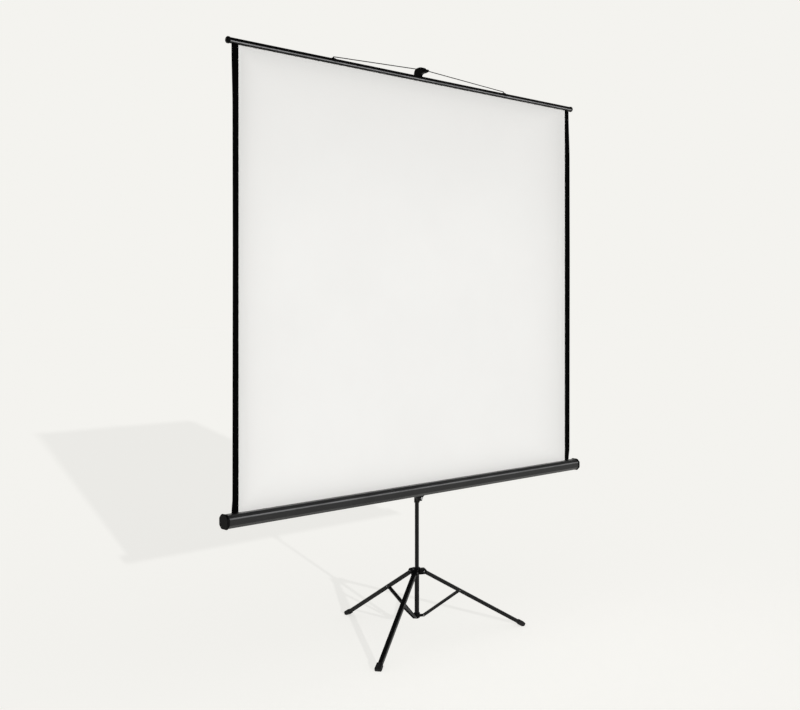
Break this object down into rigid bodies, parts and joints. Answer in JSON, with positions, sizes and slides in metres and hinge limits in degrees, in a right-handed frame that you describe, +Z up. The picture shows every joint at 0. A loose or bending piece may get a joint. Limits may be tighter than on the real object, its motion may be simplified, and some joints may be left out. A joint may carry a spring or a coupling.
{
  "type": "tripod projection screen",
  "caption": "Free-standing projection screen: white fabric on a spring roller in a faceted casing, hung by a wire bail from a telescopic pole on a folding tripod.",
  "frame": {"origin": "on the floor, at the centre of the bounding box seen from above", "axes": "+Z up, +X along the casing, the picture side faces -Y"},
  "size_m": [2.0836, 0.7822, 2.579],
  "materials": {
    "black_paint": "satin",
    "black_plastic": "matte",
    "rubber": "matte",
    "steel": "satin",
    "screen_fabric": "matte white"
  },
  "bodies": {
    "mast": {"mast_tube": "black_paint", "base_hub": "black_plastic", "mast_top_bush": "black_plastic", "hub_pin_rear": "steel", "hub_pin_left": "steel", "hub_pin_right": "steel"},
    "strut_rear": {"strut_rear": "black_paint"},
    "leg_rear": {"leg_rear": "black_paint", "foot_rear": "rubber", "collar_pin_rear": "steel", "strut_rivet_rear": "steel"},
    "strut_left": {"strut_left": "black_paint"},
    "leg_left": {"leg_left": "black_paint", "foot_left": "rubber", "collar_pin_left": "steel", "strut_rivet_left": "steel"},
    "strut_right": {"strut_right": "black_paint"},
    "leg_right": {"leg_right": "black_paint", "foot_right": "rubber", "collar_pin_right": "steel", "strut_rivet_right": "steel"},
    "collar": {"leg_collar": "black_plastic", "stop_sleeve": "black_paint"},
    "carrier": {"carrier_bracket": "black_paint", "pivot_plate": "black_paint", "pivot_bolt": "steel", "plate_rivet_left": "steel", "plate_rivet_right": "steel", "casing_shell": "black_paint", "end_cap_left": "black_plastic", "end_cap_right": "black_plastic", "spring_shaft": "steel", "return_spring": "steel", "fabric": "screen_fabric"},
    "clamp_knob": {"carrier_knob": "steel"},
    "roller": {"roller_tube": "steel", "fabric_roll": "screen_fabric", "roller_gudgeon": "black_plastic", "roller_bush": "black_plastic"},
    "pole": {"extension_pole": "steel", "pole_hook": "black_plastic", "slat_tube": "black_paint", "slat_cap_left": "black_plastic", "slat_cap_right": "black_plastic", "bail_clip_left": "black_paint", "bail_clip_right": "black_paint", "bail_wire": "black_paint"},
    "button": {"lock_button": "steel"}
  },
  "joints": [
    {"name": "tripod_fold", "type": "hinge", "parent": "mast", "child": "strut_rear", "pos_m": [0, -0.09212, 0.08972], "axis": [1, 0, 0], "range_deg": [0, 56]},
    {"name": "leg_rear_fold", "type": "hinge", "parent": "strut_rear", "child": "leg_rear", "pos_m": [0, 0.07606, 0.19038], "axis": [-1, 0, 0], "range_deg": [0, 112]},
    {"name": "collar_level", "type": "hinge", "parent": "leg_rear", "child": "collar", "pos_m": [0, -0.09212, 0.29103], "axis": [1, 0, 0], "range_deg": [0, 56]},
    {"name": "strut_left_fold", "type": "hinge", "parent": "mast", "child": "strut_left", "pos_m": [-0.02659, -0.13817, 0.08972], "axis": [-0.5, 0.866, 0], "range_deg": [0, 56]},
    {"name": "leg_left_fold", "type": "hinge", "parent": "strut_left", "child": "leg_left", "pos_m": [-0.17224, -0.22226, 0.19038], "axis": [0.5, -0.866, 0], "range_deg": [0, 112]},
    {"name": "strut_right_fold", "type": "hinge", "parent": "mast", "child": "strut_right", "pos_m": [0.02659, -0.13817, 0.08972], "axis": [-0.5, -0.866, 0], "range_deg": [0, 56]},
    {"name": "leg_right_fold", "type": "hinge", "parent": "strut_right", "child": "leg_right", "pos_m": [0.17224, -0.22226, 0.19038], "axis": [0.5, 0.866, 0], "range_deg": [0, 112]},
    {"name": "case_height", "type": "slide", "parent": "mast", "child": "carrier", "axis": [0, 0, 1], "range_m": [-0.05, 0.25]},
    {"name": "pole_slide", "type": "slide", "parent": "carrier", "child": "pole", "axis": [0, 0, 1], "range_m": [-0.9, 0], "deforming": ["fabric"]},
    {"name": "roller_spin", "type": "hinge", "parent": "carrier", "child": "roller", "pos_m": [0, -0.18832, 0.675], "axis": [1, 0, 0], "range_deg": [-4915, 0]},
    {"name": "clamp_turn", "type": "hinge", "parent": "carrier", "child": "clamp_knob", "pos_m": [0.01925, -0.12282, 0.625], "axis": [1, 0, 0], "range_deg": [0, 270]},
    {"name": "lock_press", "type": "slide", "parent": "mast", "child": "button", "axis": [0, -1, 0], "range_m": [0, 0.003], "stiffness_N_per_m": 400}
  ],
  "couplings": [
    {"joint": "leg_rear_fold", "follows": "tripod_fold", "ratio": 2},
    {"joint": "collar_level", "follows": "tripod_fold", "ratio": 1},
    {"joint": "strut_left_fold", "follows": "tripod_fold", "ratio": 1},
    {"joint": "leg_left_fold", "follows": "tripod_fold", "ratio": 2},
    {"joint": "strut_right_fold", "follows": "tripod_fold", "ratio": 1},
    {"joint": "leg_right_fold", "follows": "tripod_fold", "ratio": 2},
    {"joint": "roller_spin", "follows": "pole_slide", "rad_per_m": 95.238}
  ]
}
